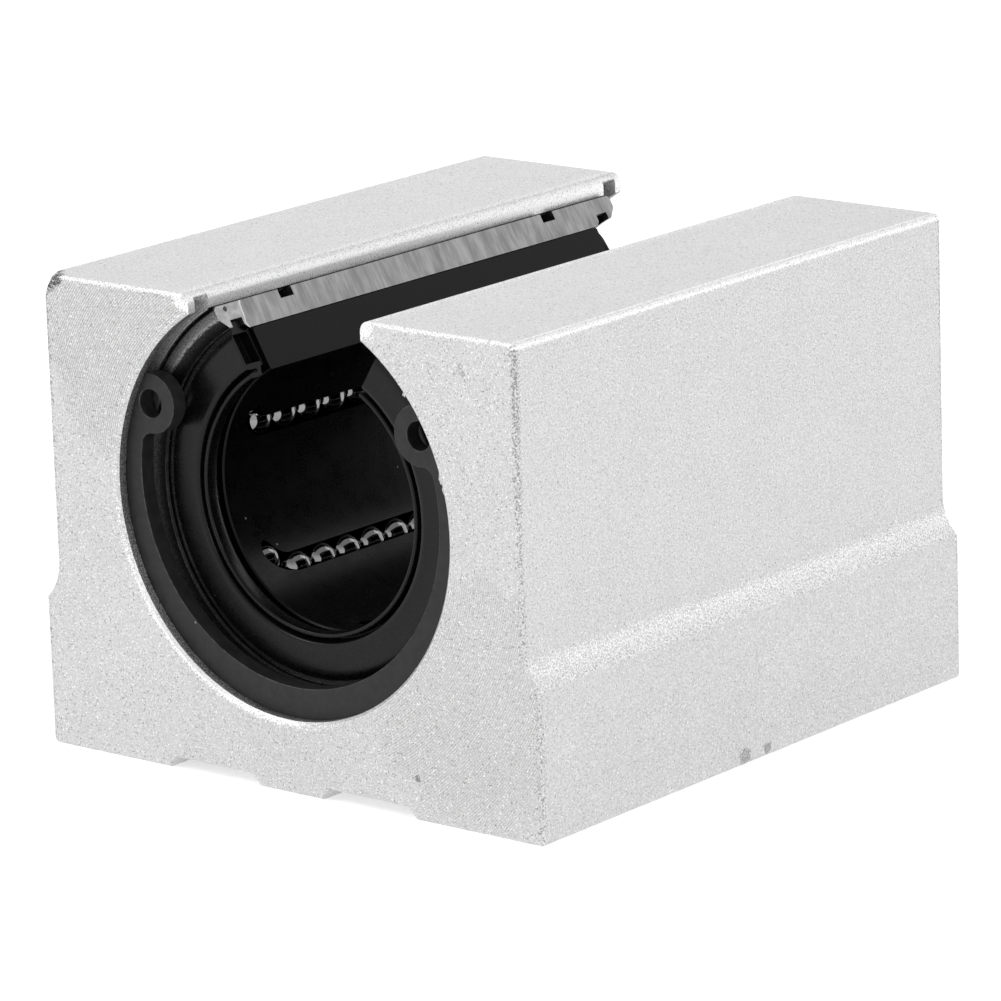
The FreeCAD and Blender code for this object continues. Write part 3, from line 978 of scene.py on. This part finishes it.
def soften_edges(piece: bpy.types.Object, width: float, sharp_angle: float = 35.0) -> None:
    """Give a piece's sharp edges a small round, and smooth what is curved.

    Args:
        piece: Merged piece to finish.
        width: Width of the rounds.
        sharp_angle: Least angle of an edge that counts as sharp, in degrees.
    """
    pick(piece)
    bevel = piece.modifiers.new("edge rounds", "BEVEL")
    bevel.width = width
    bevel.segments = 2
    bevel.limit_method = "ANGLE"
    bevel.angle_limit = math.radians(sharp_angle)
    bevel.use_clamp_overlap = True
    bevel.harden_normals = True
    bpy.ops.object.shade_smooth_by_angle(angle=math.radians(sharp_angle))
    bpy.ops.object.modifier_apply(modifier=bevel.name)


def settle(piece: bpy.types.Object) -> None:
    """Put a piece's place, turn and size into its mesh."""
    pick(piece)
    bpy.ops.object.transform_apply(location=True, rotation=True, scale=True)


def dress(piece: bpy.types.Object, material: bpy.types.Material, slot: str, *nodes: str) -> None:
    """Give a new piece its material and its body, and hide the CAD nodes that it stands for.

    Args:
        piece: Finished piece.
        material: Its material.
        slot: The record's material slot; not used.
        nodes: CAD nodes that the piece replaces.
    """
    piece.data.materials.clear()
    piece.data.materials.append(material)
    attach(piece, BODY)
    if nodes:
        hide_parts(*nodes)
    LOG.info("piece %s stands for %s", piece.name, ", ".join(nodes) or "nothing")


def dress_node(node: str, material: bpy.types.Material) -> None:
    """Give a CAD node that stays as it is its material."""
    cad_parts[node].material_slots[0].material = material
    LOG.info("node %s is finished in %s", node, material.name)


# ---- Sub-assemblies ----


@dataclass
class Housing:
    """The aluminium block, with its knocked corner and the burrs that the facing cut left."""

    corner: Place = (-28.35 * MM, -32.5 * MM, 46.0 * MM)
    corner_outward: Place = (-1.0, -1.0, 1.0)
    # A radius below 1.3 mm puts the cuts so close to the corner's rounds that open edges are left.
    knock_radius: float = 1.3 * MM
    knocks: tuple[Place, ...] = (
        (-1.0, -1.0, 1.0), (-1.0, -0.9, 0.45), (-1.0, -0.45, 0.9), (-0.4, -1.0, 0.8),
        (-0.9, -0.5, 0.4), (-0.5, -0.9, 1.1), (-0.6, -0.5, 1.0),
    )
    # Middle of each burr, and half its size along each axis.
    burrs: tuple[tuple[Place, Place], ...] = (
        ((18.95 * MM, -31.75 * MM, 32.6 * MM), (0.28 * MM, 0.35 * MM, 0.75 * MM)),
        ((19.15 * MM, -31.6 * MM, 31.4 * MM), (0.22 * MM, 0.3 * MM, 0.5 * MM)),
        ((15.15 * MM, -31.9 * MM, 39.75 * MM), (0.25 * MM, 0.3 * MM, 0.25 * MM)),
    )
    burr_raggedness: float = 0.08 * MM
    curve_angle: float = 35.0
    burr_curve_angle: float = 50.0
    finish: Finish = HOUSING

    def build(self) -> None:
        """Build the block and its burrs."""
        aluminium = self.finish.material()
        block = copy_of_node("housing", "housing_blasted")
        self.knock_corner(block)
        self.smooth(block)
        dress(block, aluminium, "housing_aluminium", "housing")
        for number, (place, half) in enumerate(self.burrs, start=1):
            dress(self.burr(number, place, half), aluminium, "housing_aluminium")

    def knock_corner(self, block: bpy.types.Object) -> None:
        """Flatten the knocked corner with a few small cuts that lie on a rough ball.

        Args:
            block: Merged copy of the block.
        """
        middle = Vector(self.corner) - Vector(self.corner_outward) * self.knock_radius
        pick(block)
        bpy.ops.object.mode_set(mode="EDIT")
        for direction in self.knocks:
            normal = Vector(direction).normalized()
            bpy.ops.mesh.select_all(action="SELECT")
            bpy.ops.mesh.bisect(plane_co=middle + normal * self.knock_radius, plane_no=normal,
                                use_fill=True, clear_outer=True)
        bpy.ops.object.mode_set(mode="OBJECT")

    def smooth(self, block: bpy.types.Object) -> None:
        """Smooth the rounds and keep the flats flat.

        Args:
            block: The block.
        """
        pick(block)
        bpy.ops.object.shade_smooth_by_angle(angle=math.radians(self.curve_angle))
        weighted = block.modifiers.new("flat faces", "WEIGHTED_NORMAL")
        weighted.keep_sharp = True
        bpy.ops.object.modifier_apply(modifier=weighted.name)

    def burr(self, number: int, place: Place, half: Place) -> bpy.types.Object:
        """Model a ragged sliver of metal at the bore's mouth.

        Args:
            number: Its number, which also seeds its shape.
            place: Its middle.
            half: Half its size along each axis.

        Returns:
            The finished piece.
        """
        deselect_all()
        bpy.ops.mesh.primitive_ico_sphere_add(subdivisions=3, radius=1.0, location=place)
        piece = bpy.context.object
        piece.name = f"mouth_burr_{number}"
        piece.scale = half
        settle(piece)
        bpy.ops.object.mode_set(mode="EDIT")
        bpy.ops.transform.vertex_random(offset=self.burr_raggedness, uniform=0.4, normal=0.3, seed=number)
        bpy.ops.mesh.vertices_smooth(factor=0.35)
        bpy.ops.object.mode_set(mode="OBJECT")
        bpy.ops.object.shade_smooth_by_angle(angle=math.radians(self.burr_curve_angle))
        return piece


@dataclass
class Insert:
    """The ball bushing: sleeve, retainer and balls."""

    edge_round: float = 0.06 * MM
    circuits: int = 5

    def build(self) -> None:
        """Build the sleeve, and dress the retainer and the balls."""
        sleeve = copy_of_node("outer_sleeve", "sleeve_ground")
        soften_edges(sleeve, self.edge_round)
        dress(sleeve, SLEEVE.material(), "bearing_steel", "outer_sleeve")
        dress_node("ball_retainer", RETAINER.material())
        ball = BALL.material()
        for stretch in Stretch:
            for number in range(1, self.circuits + 1):
                dress_node(f"{stretch.value}_balls_{number}", ball)


@dataclass
class EndSeal:
    """A moulded rubber seal: a dished face, a deep groove and a thin lip that wipes the shaft."""

    end: End
    turn: float = 0.0
    half_cut: float = 31.0
    steps: int = 144
    sharp_angle: float = 60.0
    edge_round: float = 0.06 * MM
    pocket_radius: float = 15.45 * MM
    pocket_depth: float = 1.35 * MM
    pocket_size: Place = (2.4 * MM, 2.0 * MM, 3.0 * MM)
    # Radius and depth behind the face, in millimetres, from the lip's tip outwards and back.
    section: tuple[tuple[float, float], ...] = (
        (12.51, 1.30), (12.51, 0.40), (12.55, 0.20), (12.64, 0.12), (12.88, 0.12), (12.98, 0.22),
        (13.02, 0.50), (13.05, 1.30), (13.12, 1.42), (13.26, 1.42), (13.33, 1.30), (13.38, 0.35),
        (13.46, 0.12), (13.62, 0.00), (14.00, 0.02), (14.60, 0.05), (15.30, 0.06), (15.90, 0.05),
        (16.30, 0.06), (16.60, 0.11), (16.88, 0.20), (17.12, 0.31), (17.32, 0.42), (17.50, 0.50),
        (18.20, 0.50), (18.20, 1.90), (17.50, 1.90), (17.05, 2.35), (17.05, 2.70), (13.60, 2.70),
        (13.45, 2.05), (12.70, 1.75),
    )

    def build(self, rubber: bpy.types.Material) -> None:
        """Model the seal.

        Args:
            rubber: Its material.
        """
        cuts = [math.radians(self.turn + self.half_cut), math.radians(self.turn - self.half_cut)]
        piece = self.profile(cuts[0])
        bpy.ops.object.mode_set(mode="EDIT")
        bpy.ops.mesh.select_all(action="SELECT")
        bpy.ops.mesh.spin(steps=self.steps, angle=math.radians(360 - 2 * self.half_cut),
                          center=(0, 0, BORE_AXIS_HEIGHT), axis=(0, -1, 0))
        bpy.ops.mesh.select_all(action="SELECT")
        bpy.ops.mesh.remove_doubles(threshold=JOIN_DISTANCE)
        bpy.ops.mesh.normals_make_consistent(inside=False)
        bpy.ops.object.mode_set(mode="OBJECT")
        for cut in cuts:
            self.sink_pocket(piece, cut)
        soften_edges(piece, self.edge_round, self.sharp_angle)
        dress(piece, rubber, "seal_rubber", f"{self.end.value}_seal")

    def place(self, radius: float, depth: float, angle: float) -> Place:
        """Place at a radius and a depth behind the face, turned from straight up by an angle."""
        return (radius * math.sin(angle), self.end.side * (SEAL_FACE_Y - depth),
                BORE_AXIS_HEIGHT + radius * math.cos(angle))

    def profile(self, cut: float) -> bpy.types.Object:
        """Lay the section out as one face, where the seal's first cut is.

        Args:
            cut: Angle of the cut from straight up, in radians.

        Returns:
            The flat piece.
        """
        deselect_all()
        bpy.ops.mesh.primitive_circle_add(vertices=len(self.section), radius=1.0, fill_type="NGON")
        piece = bpy.context.object
        piece.name = f"{self.end.value}_seal_moulded"
        for corner, (radius, depth) in zip(piece.data.vertices, self.section):
            corner.co = self.place(radius * MM, depth * MM, cut)
        return piece

    def sink_pocket(self, piece: bpy.types.Object, cut: float) -> None:
        """Sink the moulded pocket into one cut face.

        Args:
            piece: The seal.
            cut: Angle of the cut from straight up, in radians.
        """
        deselect_all()
        bpy.ops.mesh.primitive_cube_add(
            size=1.0, rotation=(0, cut, 0), location=self.place(self.pocket_radius, self.pocket_depth, cut))
        core = bpy.context.object
        core.scale = self.pocket_size
        settle(core)
        pick(piece)
        hollow = piece.modifiers.new("pocket", "BOOLEAN")
        hollow.operation = "DIFFERENCE"
        hollow.solver = "EXACT"
        hollow.object = core
        bpy.ops.object.modifier_apply(modifier=hollow.name)
        bpy.data.objects.remove(core)


@dataclass
class Closures:
    """The end seals, the circlips and the locating screw."""

    circlip_round: float = 0.12 * MM
    rear_seal_turn: float = -5.5

    def build(self) -> None:
        """Build the seal and the circlip of each end, and dress the screw."""
        rubber = SEAL.material()
        spring = CIRCLIP.material()
        for seal in (EndSeal(End.FRONT), EndSeal(End.REAR, self.rear_seal_turn)):
            seal.build(rubber)
            end = seal.end.value
            clip = copy_of_node(f"{end}_circlip", f"{end}_circlip_stamped")
            soften_edges(clip, self.circlip_round)
            dress(clip, spring, "circlip_steel", f"{end}_circlip")
        dress_node("locating_screw", SCREW.material())


# ---- Studio ----


@dataclass(frozen=True)
class Lamp:
    """A soft square lamp that faces the block: its name, place, width and power in watts."""

    name: str
    place: Place
    width: float
    power: float

    def hang(self) -> None:
        """Add the lamp to the studio."""
        data = bpy.data.lights.new(self.name, "AREA")
        data.size = self.width
        data.energy = self.power
        lamp = bpy.data.objects.new(self.name, data)
        lamp.location = self.place
        aim = Vector((0, 0, BORE_AXIS_HEIGHT)) - Vector(self.place)
        lamp.rotation_euler = aim.to_track_quat("-Z", "Y").to_euler()
        bpy.context.scene.collection.objects.link(lamp)


@dataclass
class Studio:
    """White floor and world, soft lamps and the camera."""

    wall_strength: float = 1.0
    ceiling_strength: float = 0.45
    # How steeply one looks up where the walls end and where the ceiling is dimmest.
    wall_end: float = 0.30
    ceiling_start: float = 0.85
    floor_paint: str = "#fbfbfb"
    floor_glow: float = 0.35
    floor_size: float = 6.0
    camera_place: Place = (0.355967, -0.432055, 0.165179)
    camera_azimuth: float = 39.53
    camera_elevation: float = 14.46
    camera_roll: float = -1.86
    lens: float = 217.33
    nearest_seen: float = 0.05
    lamps: tuple[Lamp, ...] = (
        Lamp("key_lamp", (-0.9, -0.9, 1.2), 0.6, 5.5),
        Lamp("back_lamp", (-0.9, 1.05, 0.95), 0.6, 1.6),
        Lamp("side_lamp", (1.5, -0.2, 0.7), 0.5, 4.5),
        Lamp("lip_lamp", (0.35, 1.1, 1.0), 0.6, 0.8),
    )

    def build(self) -> None:
        """Set up the world, floor, lamps, camera and colour handling."""
        self.world()
        self.floor()
        for lamp in self.lamps:
            lamp.hang()
        self.camera()
        bpy.context.scene.view_settings.view_transform = "Standard"

    def world(self) -> None:
        """White walls under a dim ceiling, so that gloss shows a bright horizon and a dark sky."""
        world = bpy.data.worlds.new("white_room")
        nodes = Nodes(world)
        direction = nodes.add("TexCoord")["Generated"]
        up = nodes.add("SeparateXYZ", [direction])[2]
        strength = nodes.add("MapRange", [
            up, self.wall_end, self.ceiling_start, self.wall_strength, self.ceiling_strength], SOFT)[0]
        light = nodes.add("Background", {"Color": linear("#ffffff"), "Strength": strength})[0]
        nodes.add("OutputWorld", {"Surface": light})
        bpy.context.scene.world = world

    def floor(self) -> None:
        """Pale floor that keeps the object's soft shadow, and glows a little where it is seen."""
        deselect_all()
        bpy.ops.mesh.primitive_plane_add(size=self.floor_size, location=(0, 0, 0))
        floor = bpy.context.object
        floor.name = "studio_floor"
        made = bpy.data.materials.new("white_floor")
        nodes = Nodes(made)
        paint = nodes.add("BsdfDiffuse", {"Color": linear(self.floor_paint)})[0]
        ray = nodes.add("LightPath")
        seen = nodes.add("Math", [ray["Is Camera Ray"], ray["Is Glossy Ray"]], PLUS)[0]
        seen = nodes.add("Math", [seen, ray["Is Transmission Ray"]], PLUS)[0]
        glow = nodes.add("Math", [seen, self.floor_glow], TIMES)[0]
        light = nodes.add("Emission", {"Color": linear("#ffffff"), "Strength": glow})[0]
        both = nodes.add("AddShader", [paint, light])[0]
        nodes.add("OutputMaterial", {"Surface": both})
        floor.data.materials.append(made)

    def camera(self) -> None:
        """Long lens that looks down on the front and the right side."""
        turn, tilt, roll = (math.radians(angle) for angle in (
            self.camera_azimuth, self.camera_elevation, self.camera_roll))
        back = Vector((math.sin(turn) * math.cos(tilt), -math.cos(turn) * math.cos(tilt), math.sin(tilt)))
        right = (-back).cross(Vector((0, 0, 1))).normalized()
        up = right.cross(-back)
        across = right * math.cos(roll) + up * math.sin(roll)
        upward = up * math.cos(roll) - right * math.sin(roll)
        data = bpy.data.cameras.new("product_camera")
        data.lens = self.lens
        data.clip_start = self.nearest_seen
        camera = bpy.data.objects.new("product_camera", data)
        axes = Matrix((across, upward, back)).transposed().to_4x4()
        camera.matrix_world = Matrix.Translation(self.camera_place) @ axes
        bpy.context.scene.collection.objects.link(camera)
        bpy.context.scene.camera = camera


def main() -> None:
    """Build every sub-assembly, then the studio."""
    logging.basicConfig(level=logging.INFO, format="%(message)s")
    for part in (Housing(), Insert(), Closures(), Studio()):
        part.build()
        LOG.info("built %s", type(part).__name__)


if __name__ == "__main__":
    main()
